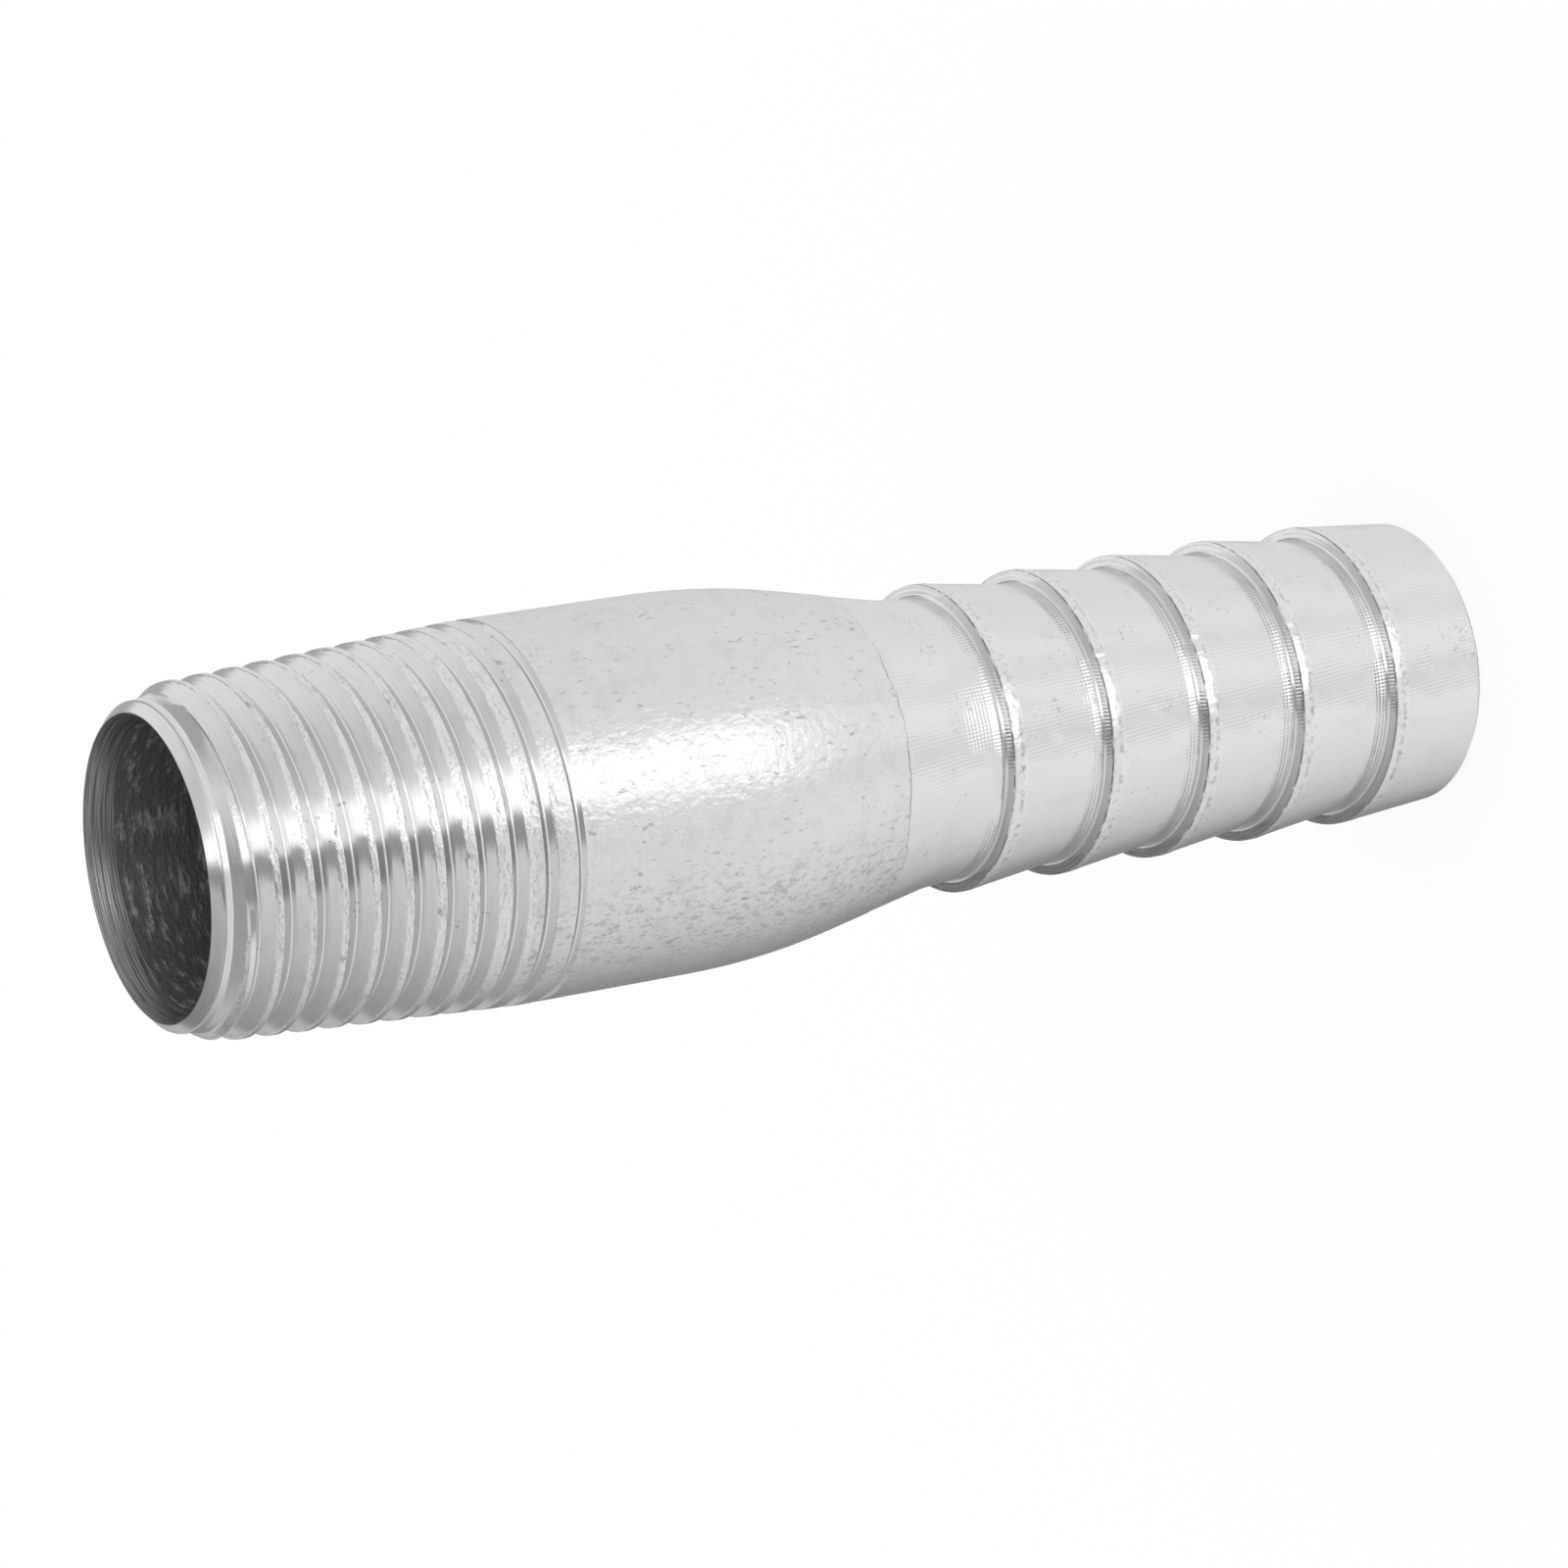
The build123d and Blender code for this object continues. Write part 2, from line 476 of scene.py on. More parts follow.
def cut_thread(section, turn, radius, z):
    """Sinks the strip's rows to the roots and flanks of the thread."""
    thread = section.thread
    inside = (z < section.screw_top + TOUCH) & (z > section.screw_foot - TOUCH)
    inside = inside & (radius > section.first_crest)
    root = TOTAL_LENGTH - thread.start + thread.pitch * (turn / (2 * math.pi) + 0.25)
    pitches = (z - root) / thread.pitch
    share_out = pitches - np.round(pitches)
    from_mouth = TOTAL_LENGTH - (z - share_out * thread.pitch)
    used = np.clip((from_mouth - thread.full_length) / (thread.last_groove - thread.full_length), 0, 1)
    gone = np.clip((from_mouth - thread.last_groove) / LAST_RUN, 0, 1)
    spent = thread.shallow * used ** 1.4 + (1 - thread.shallow) * gone
    nose = np.clip((z - section.nose_foot + NOSE_FADE_START) / NOSE_FADE, 0, 1)
    depth = thread.depth * (1 - spent) * (1 - nose)
    half = thread.half_width * (1 - NARROWING * spent)
    away = np.abs(share_out)
    crest_side = np.clip((away - 0.3) / 0.1, 0, 1)
    torn = ripple(turn, z, 2600.0) * inside
    half = half + thread.ragged * torn * crest_side * (1 - spent)
    offset = np.where(away > 0.45, thread.pitch / 2, 0.0)
    sunk = np.zeros_like(z)
    for row, up in zip(FLANK_ROWS, FLANK_CLIMB):
        at = np.abs(away - row) < ROW_TOLERANCE
        width = thread.root / 2 if row else 0.0
        offset[at] = (width + up * (half - thread.root / 2))[at]
        sunk[at] = depth[at] * max(0, 1 - up)
    drawn = inside & (np.min(np.abs(away[:, None] - np.array(FLANK_ROWS)), axis=1) < ROW_TOLERANCE)
    free = np.clip(np.minimum(section.screw_top - z, (z - section.screw_foot) * 0.5) / END_FADE, 0, 1)
    new_z = z + drawn * free * (1 - gone) * (np.sign(share_out) * offset - share_out * thread.pitch)
    tear = 0.4 * thread.ragged * (1 - spent) * np.clip(torn, 0, 1) * crest_side * (z < section.nose_foot)
    groove = section.crest_cone(new_z) - sunk
    new_radius = np.minimum(section.outside(new_z), groove) - tear
    return np.where(inside, new_radius, radius), new_z


# Dents across the barbs' crests: height and half length in metres, angle and half width in degrees, depth
DENTS = (
    (0.02572, 0.0006, -70.0, 1.1, 0.00006),
    (0.01932, 0.0005, -69.5, 2.4, 0.00009),
    (0.01280, 0.00035, -70.5, 1.6, 0.00006),
)
# Half the height of the band in which the skin's end wanders
SKIN_BAND = 0.0008


def tear_barbs(section, turn, radius, z):
    """Gives the barbs' crests their burrs, a torn lower lip and a few dents."""
    b = section.barbs
    new_radius, new_z = radius.copy(), z.copy()
    coarse, fine = ripple(turn, z, 700.0, 4.0), ripple(turn, z, 2100.0, 9.0)
    for n, height in enumerate(section.steps):
        down = (height - z) / b.land
        band = (down > -0.01) & (down < 1.1) & (radius > section.crest - 2 * b.lip_drop)
        new_radius[band] -= (b.burr * np.abs(fine + 0.5 * coarse) * (0.3 + 0.7 * down))[band]
        lip = band & (down > 0.9)
        round_lip = np.full_like(z, height)
        torn = 0.8 * ripple(turn, round_lip, 900.0, n) + 0.6 * ripple(turn, round_lip, 2600.0, n + 7.0)
        new_z[lip] += (b.ragged * torn)[lip]
        edge = band & (down < 0.2)
        new_z[edge] += (0.5 * b.burr * fine)[edge]
    outer = radius > section.root
    for height, reach, degrees, width, depth in DENTS:
        along = np.clip(1 - np.abs(z - height) / reach, 0, 1)
        across = np.clip(1 - np.abs(np.degrees(turn) - degrees) / width, 0, 1)
        new_radius -= depth * np.sqrt(along) * across * outer
    return new_radius, new_z


def wander_skin(section, turn, radius, z):
    """Lets the rolled skin end in an uneven line where the turned neck starts."""
    near = (np.abs(z - section.neck_top) < SKIN_BAND) & (radius > section.neck - 0.0002)
    weight = np.clip(1 - np.abs(z - section.neck_top) / SKIN_BAND, 0, 1)
    wander = 0.6 * ripple(turn, 0 * z, 500.0, 2.0) + 0.4 * ripple(turn, 0 * z, 1900.0, 6.0)
    return radius, z + near * weight * section.body.turning_wander * wander


class Wire:
    """A number or colour that flows through a material's nodes and takes Python's operators."""

    def __init__(self, sheet, socket):
        self.sheet, self.socket = sheet, socket

    def math(self, operation, *others):
        """The result of one of Blender's sums or functions."""
        return self.sheet.add("ShaderNodeMath", {"operation": operation}, self, *others)

    def __add__(self, other):
        return self.math("ADD", other)

    def __mul__(self, other):
        return self.math("MULTIPLY", other)

    def __sub__(self, other):
        return self.math("SUBTRACT", other)

    def __rsub__(self, other):
        return self.sheet.add("ShaderNodeMath", {"operation": "SUBTRACT"}, other, self)

    __radd__ = __add__
    __rmul__ = __mul__

    def smooth(self, low, high, bottom=0.0, top=1.0):
        """Eases from bottom to top as the value goes from low to high."""
        return self.sheet.add(
            "ShaderNodeMapRange", {"interpolation_type": "SMOOTHSTEP"}, self, low, high, bottom, top
        )


def fill_ramp(ramp, stops):
    """Gives a ramp its stops, each a place from 0 to 1 and a level."""
    for place, _ in stops[2:]:
        ramp.elements.new(place)
    for element, (place, level) in zip(ramp.elements, stops):
        element.position = place
        element.color = (level, level, level, 1)


class Sheet:
    """The nodes of one material, laid in Python."""

    def __init__(self, tree):
        self.tree = tree
        tree.nodes.clear()

    def add(self, kind, settings, *values, output=0, **named):
        """A node: its settings first, then its sockets, filled or linked, in order or by name."""
        node = self.tree.nodes.new(kind)
        for setting, value in settings.items():
            if setting == "stops":
                fill_ramp(node.color_ramp, value)
            else:
                setattr(node, setting, value)
        filled = [*zip(node.inputs, values)]
        for socket in node.inputs:
            if socket.enabled and socket.name.replace(" ", "_") in named:
                filled.append((socket, named[socket.name.replace(" ", "_")]))
        for socket, value in filled:
            if isinstance(value, Wire):
                self.tree.links.new(value.socket, socket)
            else:
                socket.default_value = value
        made = [out for out in node.outputs if out.enabled]
        return Wire(self, made[output]) if made else None

    def split(self, point):
        """The three parts of a point."""
        node = self.add("ShaderNodeSeparateXYZ", {}, point).socket.node
        return [Wire(self, out) for out in node.outputs]

    def place(self):
        """Object coordinates in millimetres: the point, its angle round the axis, radius and height."""
        coords = self.add("ShaderNodeTexCoord", {}, output=3)
        point = self.add("ShaderNodeVectorMath", {"operation": "SCALE"}, coords, Scale=1000.0)
        x, y, z = self.split(point)
        return point, y.math("ARCTAN2", x), (x * x + y * y).math("SQRT"), z

    def point(self, x, y, z):
        """A point made of three parts."""
        return self.add("ShaderNodeCombineXYZ", {}, x, y, z)

    def ramp(self, value, stops):
        """A level read from stops by a value from 0 to 1."""
        return self.add("ShaderNodeValToRGB", {"stops": stops}, value)

    def stretch(self, point, by):
        """A point with each part times its own factor, below 1 to draw a pattern out."""
        return self.add("ShaderNodeVectorMath", {"operation": "MULTIPLY"}, point, by)

    def noise(self, point, scale, detail=2.0, roughness=0.5):
        """Smooth noise from 0 to 1, with the scale in waves per millimetre."""
        return self.add(
            "ShaderNodeTexNoise", {}, Vector=point, Scale=scale, Detail=detail, Roughness=roughness
        )

    def mix(self, factor, low, high):
        """From one colour to another."""
        return self.add("ShaderNodeMix", {"data_type": "RGBA"}, Factor=factor, A=low, B=high)


def level(colour, amount=1.0):
    """A property's colour, made darker or lighter, as a socket takes it."""
    return (*(min(1.0, part * amount) for part in colour), 1.0)


def rolled_skin(sheet, finish):
    """Plated pipe skin: crumpled relief, short scratches, flecks, and dark blotches painted on the underside
    as shade.
    """
    point, turn, _, z = sheet.place()
    crumple = sheet.noise(sheet.stretch(point, (1.0, 1.0, 0.75)), 2.2, 2.0, 0.5)
    mottle = sheet.noise(point, 0.8, 3.0)
    patch = sheet.noise(point, 0.3).smooth(0.42, 0.62)
    along = sheet.noise(sheet.stretch(point, (1.0, 1.0, 0.2)), 4.5, 2.0).smooth(0.64, 0.74)
    slanted = sheet.point(turn * 10.6 + z * 0.7, z * 0.25, 0.0)
    across = sheet.noise(slanted, 3.2, 2.0).smooth(0.68, 0.76)
    # painted shade: dark blotches only on the underside, standing in for the skin's relief reflecting the
    # dark below
    under = turn.smooth(-2.75, -2.5) * turn.smooth(-2.25, -1.95, 1.0, 0.0)
    underside_shade = sheet.noise(sheet.stretch(point, (1.0, 1.0, 0.6)), 3.0, 5.0, 0.7).smooth(0.5, 0.62) * under
    fleck = sheet.noise(sheet.stretch(point, (1.0, 1.0, 0.5)), 3.6, 3.0).smooth(0.62, 0.68)
    cluster = sheet.noise(point, 0.5, 3.0).smooth(0.46, 0.62)
    sparkle = sheet.noise(point, 5.5, 1.0) * 0.01
    calm = turn.smooth(-2.1, -1.75, 0.4, 1.0) * turn.smooth(-1.15, -0.8, 1.0, 0.5)
    relief = (crumple * 0.044 + sparkle) * calm + mottle * 0.02 - along * 0.008 - across * 0.008
    shade = (along + across) * patch * 0.6 + fleck * cluster * 0.6 + underside_shade * 0.5
    shade = shade + mottle.smooth(0.45, 0.75) * 0.12
    colour = sheet.mix(shade, level(finish.zinc), level(finish.thin_zinc, 0.8))
    return colour, crumple * 0.12 + (finish.skin_gloss - 0.06), 1.0, relief


def turned_metal(sheet, finish):
    """Plated turned steel: fine rings, flutes of chatter along the axis, specks and faint stains."""
    point, turn, _, z = sheet.place()
    rings = (z * 26.2 + sheet.noise(point, 0.8) * 2.0).math("SINE")
    flutes = (turn * 243.0 + z * 2.1 + sheet.noise(point, 0.25) * 6.0).math("SINE")
    barbs = bpy.context.scene.adapter_barbs
    above = (z - barbs.last * 1000).math("FLOORED_MODULO", barbs.pitch * 1000)
    # the flutes are deeper just above a step and shallower on the adapter's underside
    foot = above.smooth(0.2, 0.9, 1.0, 0.0) * z.smooth(6.0, 6.4) * turn.smooth(-2.0, -1.75)
    patch = sheet.noise(point, 0.5).smooth(0.35, 0.7, 0.3, 1.0)
    calm = turn.smooth(-2.1, -1.8, 0.5, 1.0)
    chatter = flutes * (foot * 0.0035 + calm * 0.0048)
    bite = sheet.noise(point, 1.4, 2.0).smooth(0.48, 0.68)
    relief = (rings * (bite * 0.0022 + 0.0022) + chatter) * patch + sheet.noise(point, 1.6) * 0.008
    stain_and_painted_shade = sheet.noise(sheet.stretch(point, (1.0, 1.0, 0.5)), 0.6, 3.0).smooth(0.55, 0.8) * 0.12
    specks = sheet.noise(point, 3.4, 2.0).smooth(0.62, 0.68)
    specks = specks * sheet.noise(point, 0.4).smooth(0.56, 0.64) * 0.4
    lines = flutes.smooth(0.2, 1.0) * patch * 0.1
    colour = sheet.mix(stain_and_painted_shade + lines + specks, level(finish.zinc), level(finish.thin_zinc, 0.8))
    return colour, stain_and_painted_shade * 0.5 + finish.turned_gloss, 1.0, relief


def cut_metal(sheet, finish):
    """Plated flanks, roots and nose, with faint marks along the groove and shade painted on the lip's bevel
    along its lower side.
    """
    point, turn, radius, z = sheet.place()
    marks = sheet.noise(sheet.point(radius * 9.0, turn * 4.0, z * 9.0), 1.0, 3.0)
    specks = sheet.noise(point, 3.0, 2.0).smooth(0.68, 0.74) * sheet.noise(point, 0.5).smooth(0.5, 0.6)
    lip = (TOTAL_LENGTH * 1000 - z).smooth(0.5, 0.6, 1.0, 0.0)
    # painted shade: the lip's bevel is darkened on its lower side, standing in for the dark it reflects
    # there
    stain_and_painted_shade = lip * turn.smooth(-1.85, -1.6, 1.0, 0.0) * turn.smooth(-3.1, -2.8)
    shade = specks * 0.5 + marks.smooth(0.45, 0.8) * 0.14 + stain_and_painted_shade * 0.42
    colour = sheet.mix(shade, level(finish.zinc), level(finish.thin_zinc, 0.6))
    return colour, marks * 0.08 + finish.thread_gloss, 1.0, marks * 0.008 - specks * 0.01


def torn_metal(sheet, finish):
    """The thread's torn crests, which catch the light in specks and streaks."""
    point, turn, _, z = sheet.place()
    grain = sheet.noise(point, 5.0, 3.0)
    streaks = sheet.noise(sheet.point(turn * 9.7, z * 2.4, 0.0), 1.1, 2.0)
    shade = grain.smooth(0.54, 0.72) * 0.35 + streaks.smooth(0.5, 0.68) * 0.2
    colour = sheet.mix(shade, level(finish.zinc, 1.04), level(finish.thin_zinc, 0.7))
    return colour, finish.torn_gloss, 1.0, grain * 0.016 + streaks * 0.02


def burred_metal(sheet, finish):
    """The barbs' crests, smeared by the tool, with a painted shadow along their lower lip, darker on the
    underside.
    """
    point, turn, _, z = sheet.place()
    barbs = bpy.context.scene.adapter_barbs
    below = (barbs.last * 1000 - z).math("FLOORED_MODULO", barbs.pitch * 1000)
    streaks = sheet.noise(sheet.point(turn * 8.9, z * 0.35, 0.0), 2.2, 4.0, 0.6)
    grain = sheet.noise(point, 3.6, 3.0)
    land = barbs.land * 1000
    # painted shadow: a dark line just below each land's lip, stronger on the underside and broken up by the
    # streaks
    lip = below.smooth(land - 0.16, land - 0.04) * below.smooth(land + 0.08, land + 0.3, 1.0, 0.0)
    lip = lip * turn.smooth(-1.75, -1.2, 0.42, 0.22)
    flecks_and_lip_shade = grain.smooth(0.54, 0.68) * 0.3 + lip * streaks.smooth(0.44, 0.62)
    colour = sheet.mix(flecks_and_lip_shade, level(finish.zinc, 1.05), level(finish.thin_zinc, 0.6))
    return colour, finish.torn_gloss, 1.0, grain * 0.014 + streaks * 0.022


def faced_metal(sheet, finish):
    """The barbs' faced steps, with the tool's rings."""
    _, turn, radius, z = sheet.place()
    rings = sheet.noise(sheet.point(radius * 7.0, turn * 1.2, z * 0.5), 1.0, 2.0)
    colour = sheet.mix(rings.smooth(0.45, 0.7) * 0.3, level(finish.zinc, 1.1), level(finish.thin_zinc))
    return colour, finish.faced_gloss, 1.0, rings * 0.016


def worn_edge(sheet, finish):
    """The worn edge where a barb's step meets its crest, with dark patches painted on as the dark reflection
    that the edge catches.
    """
    _, turn, _, z = sheet.place()
    # painted reflection: dark patches along the crest's edge, in the colour of the bore's scale
    painted_dark_reflection = sheet.noise(sheet.point(turn * 8.9, z * 2.0, 0.0), 0.9, 4.0, 0.6).smooth(0.36, 0.54)
    colour = sheet.mix(painted_dark_reflection * 0.88, level(finish.zinc), level(finish.scale, 1.4))
    return colour, 0.22, 1.0, painted_dark_reflection * 0.02


def scored_metal(sheet, finish):
    """The thin score where the rolled skin ends, and the hose end's chamfer."""
    point = sheet.place()[0]
    shade = sheet.noise(point, 1.2, 4.0).smooth(0.35, 0.65)
    return sheet.mix(shade, level(finish.zinc), level(finish.thin_zinc, 0.6)), 0.35, 1.0, shade * 0.01


def reamed_metal(sheet, finish):
    """Reamed band inside the lip, with fine lines round it."""
    _, turn, _, z = sheet.place()
    lines = sheet.noise(sheet.point(turn * 1.5, 0.0, z * 26.0), 1.0, 3.0)
    colour = sheet.mix(lines.smooth(0.38, 0.62), level(finish.thin_zinc, 1.4), level(finish.scale, 1.1))
    return colour, 0.32, 1.0, lines * 0.02


def scaled_bore(sheet, finish):
    """Rough dark scale in the bore, with lighter streaks round it."""
    point, turn, _, z = sheet.place()
    patches = sheet.noise(sheet.point(turn * 4.4, 0.0, z * 2.2), 1.0, 5.0, 0.6)
    grain = sheet.noise(point, 3.0, 3.0)
    light = patches.smooth(0.50, 0.64) * grain.smooth(0.3, 0.65, 0.2, 0.9)
    colour = sheet.mix(light, level(finish.scale, 1.1), level(finish.thin_zinc, 1.35))
    return colour, finish.bore_gloss, 0.85, patches * 0.05 + grain * 0.04


FINISHES = (
    rolled_skin, turned_metal, cut_metal, torn_metal, burred_metal, faced_metal, worn_edge,
    scored_metal, reamed_metal, scaled_bore,
)


def plate(lay):
    """A new material with the colour, roughness, metal share and relief that lay gives it."""
    material = bpy.data.materials.new(lay.__name__)
    material.use_nodes = True
    sheet = Sheet(material.node_tree)
    colour, roughness, metallic, relief = lay(sheet, bpy.context.scene.adapter_finish)
    normal = sheet.add("ShaderNodeBump", {}, Height=relief, Strength=1.0, Distance=0.001)
    shader = sheet.add(
        "ShaderNodeBsdfPrincipled", {},
        Base_Color=colour, Roughness=roughness, Metallic=metallic, Normal=normal,
    )
    sheet.add("ShaderNodeOutputMaterial", {}, shader)
    return material


# Where a finish ends, in metres: the score's band about the skin's end, torn crests above the thread's
# foot, the depth from which a groove is bright, the torn lip below a land, and the band of a step's face
SCORE_BAND = 0.0003
TORN_FROM = 0.002
GROOVE_DEPTH = 0.00004
LIP_REACH = 0.0004
STEP_BAND = 0.0002


def dress(obj, section):
    """Gives each face the finish of its place."""
    for lay in FINISHES:
        obj.data.materials.append(plate(lay))
    number = {lay.__name__: n for n, lay in enumerate(FINISHES)}
    faces = obj.data.polygons
    centre, normal = np.empty(len(faces) * 3), np.empty(len(faces) * 3)
    faces.foreach_get("center", centre)
    faces.foreach_get("normal", normal)
    x, y, z = centre.reshape(-1, 3).T
    nx, ny, nz = normal.reshape(-1, 3).T
    radius = np.hypot(x, y)
    outward = (nx * x + ny * y) / radius
    inner = outward < -0.3
    index = np.full(len(faces), number["turned_metal"])
    index[z > section.neck_top] = number["rolled_skin"]
    score = (np.abs(z - section.neck_top) < SCORE_BAND) & (radius > section.neck)
    score = score & (radius < section.swage_end)
    index[score & (nz < -0.05)] = number["scored_metal"]
    threaded = (z < section.nose_foot) & (z > section.screw_foot)
    index[threaded & (z > section.thread_foot + TORN_FROM)] = number["torn_metal"]
    index[threaded & (section.outside(z) - radius > GROOVE_DEPTH)] = number["cut_metal"]
    index[z >= section.nose_foot] = number["cut_metal"]
    for height in section.steps:
        land = (z < height) & (z > height - section.barbs.land - LIP_REACH) & (outward > 0.5)
        index[land] = number["burred_metal"]
        edge = land & (z > height - section.barbs.edge_width) & (nz > 0.1)
        index[edge] = number["worn_edge"]
        index[(np.abs(z - height) < STEP_BAND) & (nz > 0.6)] = number["faced_metal"]
    chamfer = section.barbs.chamfer
    index[(z < chamfer) & (radius > section.end - chamfer)] = number["scored_metal"]
    index[inner] = number["scaled_bore"]
    index[inner & (z > section.ream_foot)] = number["reamed_metal"]
    faces.foreach_set("material_index", index)
    obj.data.update()


class ADAPTER_OT_body(bpy.types.Operator):
    """Model the adapter and give it its finish"""

    bl_idname = "adapter.body"
    bl_label = "Adapter"

    def execute(self, context):
        scene = context.scene
        section = Section(scene.adapter_body, scene.adapter_thread, scene.adapter_barbs)
        mouth = turn_line(section.mouth_line())
        strip = screw_strip(section)
        shank = turn_line(section.shank_line())
        adapter = join_pieces(mouth, strip, shank)
        merge_doubles()
        bridge_gap(adapter, section.screw_top - WELD, section.screw_top + BRIDGE_REACH)
        bridge_gap(adapter, section.screw_foot - BRIDGE_REACH, section.screw_foot + WELD)
        x, y, z = points_of(adapter).T
        turn, radius = np.arctan2(y, x), np.hypot(x, y)
        for shape in (cut_thread, tear_barbs, wander_skin):
            radius, z = shape(section, turn, radius, z)
        set_points(adapter, turn, radius, z)
        bpy.ops.object.mode_set(mode="EDIT")
        bpy.ops.mesh.select_all(action="SELECT")
        bpy.ops.mesh.normals_make_consistent(inside=False)
        bpy.ops.object.mode_set(mode="OBJECT")
        bpy.ops.object.shade_smooth_by_angle(angle=math.radians(17))
        adapter.name = adapter.data.name = "adapter"
        dress(adapter, section)
        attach(adapter, "root")
        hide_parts(NODE)
        return {"FINISHED"}


def seen_white(sheet):
    """1 for the camera and for mirrors, and 0 for all other light."""
    path = sheet.add("ShaderNodeLightPath", {}).socket.node
    names = ("Is Camera Ray", "Is Glossy Ray", "Is Transmission Ray")
    camera, glossy, through = (Wire(sheet, path.outputs[name]) for name in names)
    return (camera + glossy + through).math("MINIMUM", 1.0)


def paint_floor(floor, studio):
    """White to the camera and to mirrors, with a share of the floor's own shade."""
    material = bpy.data.materials.new("pale_floor")
    material.use_nodes = True
    sheet = Sheet(material.node_tree)
    white = sheet.add("ShaderNodeEmission", {}, (1, 1, 1, 1), 1.0)
    matt = sheet.add("ShaderNodeBsdfDiffuse", {}, (0.96, 0.96, 0.96, 1))
    blend = sheet.add("ShaderNodeMixShader", {}, seen_white(sheet) * (1 - studio.shadow), matt, white)
    sheet.add("ShaderNodeOutputMaterial", {}, blend)
    floor.data.materials.append(material)


def paint_world(scene, studio):
    """A white room that gives a soft level light."""
    world = bpy.data.worlds.new("room")
    scene.world = world
    world.use_nodes = True
    sheet = Sheet(world.node_tree)
    back = sheet.add("ShaderNodeBackground", {}, (1, 1, 1, 1), studio.world_level)
    sheet.add("ShaderNodeOutputWorld", {}, back)


def glow(name, lay):
    """A material that only gives light, its level laid from the place in metres."""
    material = bpy.data.materials.new(name)
    material.use_nodes = True
    sheet = Sheet(material.node_tree)
    light = sheet.add("ShaderNodeEmission", {}, lay(sheet), 1.0)
    sheet.add("ShaderNodeOutputMaterial", {}, light)
    return material


def mirror_only(obj, name, material):
    """Stage gear that shows only in the metal's reflections."""
    obj.name = name
    obj.data.materials.append(material)
    obj.visible_camera = False
    obj.visible_diffuse = False
    obj.visible_shadow = False
    obj.visible_transmission = False


# Levels of the tent round the adapter, by azimuth in degrees: high up, level with the adapter, low
# down and nearly underneath. The softboxes are the parts above 1.
TENT_HIGH = (
    (-180, 0.66), (-140, 0.80), (-128, 0.80), (-121, 0.34), (-99, 0.38), (-95, 1.50), (-71, 1.50),
    (-56, 0.86), (-20, 0.70), (20, 0.90), (60, 0.98), (84, 0.96), (86.5, 0.6), (89, 0.34), (92, 0.24),
    (95, 0.32), (96.3, 0.16), (98, 0.14), (106, 0.33), (130, 0.37), (147, 0.46), (162, 0.54), (180, 0.66),
)
TENT_LEVEL = (
    (-180, 0.45), (-110, 0.43), (-100, 0.37), (-90, 0.43), (-70, 0.74), (-50, 0.88), (-30, 0.72),
    (-10, 0.49), (70, 0.47), (100, 0.45), (120, 0.62), (150, 0.60), (180, 0.47),
)
TENT_LOW = (
    (-180, 0.86), (-170, 0.91), (-160, 0.95), (-150, 0.97), (-100, 0.97), (-97, 1.68), (-64, 1.68),
    (-60, 0.97), (0, 0.97), (20, 0.95), (40, 0.91), (60, 0.85), (75, 0.79), (90, 0.50), (100, 0.27),
    (120, 0.31), (140, 0.48), (150, 0.58), (170, 0.77), (180, 0.86),
)
TENT_UNDER = (
    (-180, 0.88), (-150, 0.99), (-118, 1.08), (-113.5, 0.90), (-100, 0.90), (-88, 1.02), (-70, 1.08),
    (-58, 1.05), (-50, 0.94), (-42, 0.98), (-30, 1.04), (0, 0.98), (60, 0.87), (75, 0.80), (90, 0.50),
    (100, 0.27), (120, 0.36), (130, 0.48), (150, 0.66), (180, 0.88),
)
# Elevations in degrees between which one row of levels gives way to the next one up
TENT_SEAMS = ((-39, -34), (-16, -11), (4, 12))
# A ramp holds levels up to 1, so the tent's are kept in it as shares of this one
TENT_FULL = 2.0


def tent_light(sheet):
    """The tent's level from azimuth and elevation."""
    x, y, z = sheet.split(sheet.add("ShaderNodeTexCoord", {}, output=3))
    across = (x * x + y * y).math("SQRT")
    climb = z.math("ARCTAN2", across) * math.degrees(1)
    round_about = y.math("ARCTAN2", x) * (0.5 / math.pi) + 0.5
    light, *upper = (
        sheet.ramp(round_about, [(azimuth / 360 + 0.5, part / TENT_FULL) for azimuth, part in levels])
        for levels in (TENT_UNDER, TENT_LOW, TENT_LEVEL, TENT_HIGH)
    )
    for (bottom, top), row in zip(TENT_SEAMS, upper):
        light = sheet.mix(climb.smooth(bottom, top), light, row)
    return light * TENT_FULL


def add_tent(studio):
    """A wide round tent all about the adapter."""
    clear_selection()
    bpy.ops.mesh.primitive_uv_sphere_add(segments=48, ring_count=24, radius=studio.tent_radius)
    mirror_only(bpy.context.object, "tent", glow("tent_cloth", tent_light))


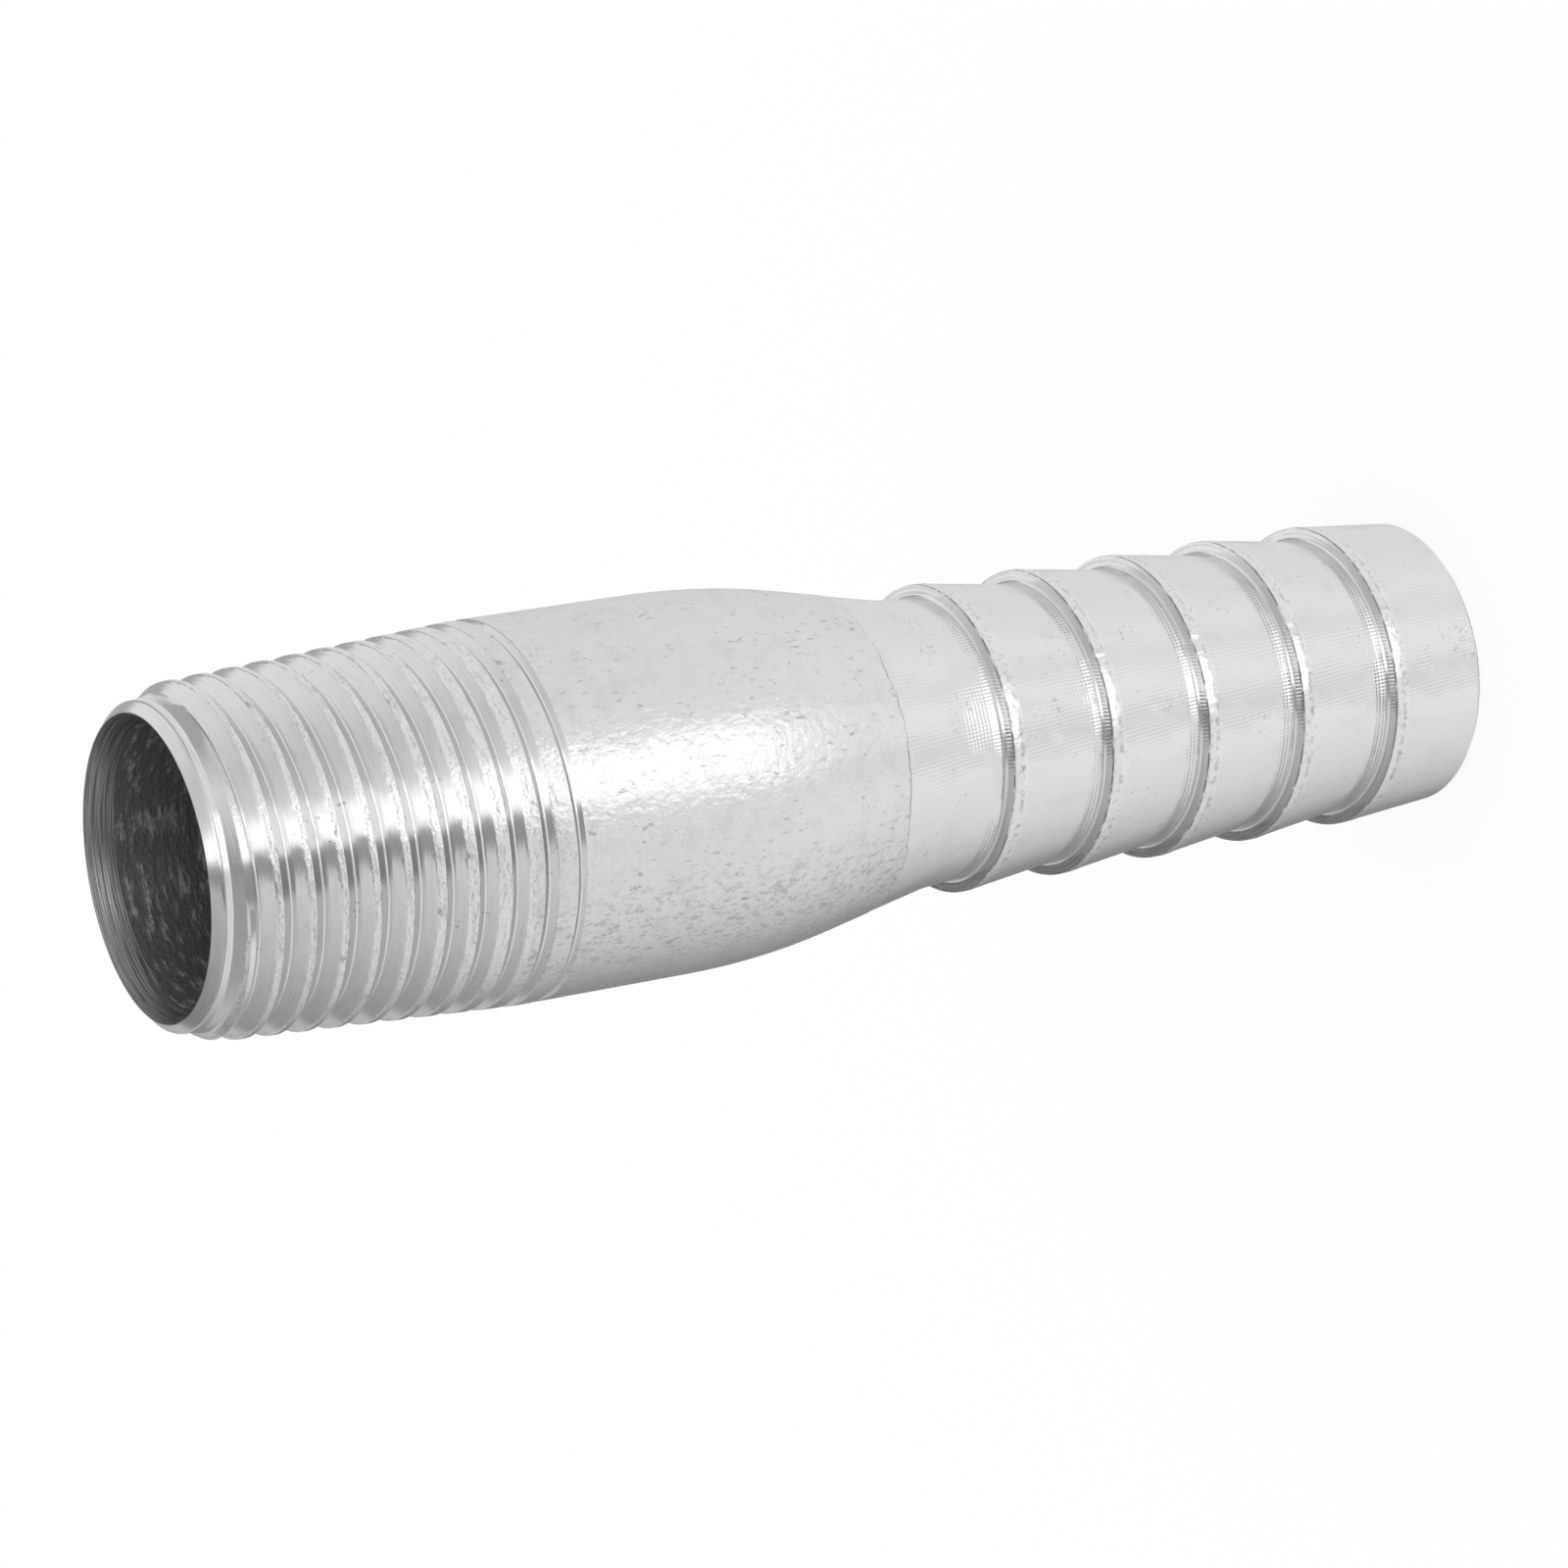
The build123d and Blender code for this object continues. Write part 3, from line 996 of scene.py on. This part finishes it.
class ADAPTER_OT_studio(bpy.types.Operator):
    """Make the floor, the light and the camera"""

    bl_idname = "adapter.studio"
    bl_label = "Studio"

    def execute(self, context):
        scene = context.scene
        studio = scene.adapter_studio
        clear_selection()
        bpy.ops.mesh.primitive_circle_add(vertices=96, radius=studio.floor_radius, fill_type="NGON")
        floor = context.object
        floor.name = "floor"
        floor.visible_glossy = False
        paint_floor(floor, studio)
        paint_world(scene, studio)
        add_tent(studio)
        bpy.ops.object.camera_add(location=studio.camera_place, rotation=studio.camera_turn)
        camera = context.object
        camera.data.lens = studio.lens
        camera.data.sensor_width = 36
        camera.data.clip_start, camera.data.clip_end = 0.01, 10
        scene.camera = camera
        scene.view_settings.view_transform = "Standard"
        return {"FINISHED"}


class ADAPTER_PT_panel(bpy.types.Panel):
    """Sizes, finishes and steps of the adapter"""

    bl_idname = "ADAPTER_PT_panel"
    bl_label = "Hose barb adapter"
    bl_space_type = "VIEW_3D"
    bl_region_type = "UI"
    bl_category = "Adapter"

    def draw(self, context):
        for name in GROUPS:
            group = getattr(context.scene, name)
            box = self.layout.box()
            for prop in group.__annotations__:
                box.prop(group, prop)
        for operator in (ADAPTER_OT_body, ADAPTER_OT_studio):
            self.layout.operator(operator.bl_idname)


GROUPS = {
    "adapter_body": AdapterBody,
    "adapter_thread": AdapterThread,
    "adapter_barbs": AdapterBarbs,
    "adapter_finish": AdapterFinish,
    "adapter_studio": AdapterStudio,
}
CLASSES = (*GROUPS.values(), ADAPTER_OT_body, ADAPTER_OT_studio, ADAPTER_PT_panel)


def register():
    """Adds the adapter's classes and properties to Blender."""
    for cls in CLASSES:
        bpy.utils.register_class(cls)
    for name, group in GROUPS.items():
        setattr(bpy.types.Scene, name, bpy.props.PointerProperty(type=group))


def unregister():
    """Takes them out again."""
    for name in GROUPS:
        delattr(bpy.types.Scene, name)
    for cls in reversed(CLASSES):
        bpy.utils.unregister_class(cls)


def main():
    """Models the adapter and its studio."""
    register()
    bpy.ops.adapter.body()
    bpy.ops.adapter.studio()


if __name__ == "__main__":
    main()
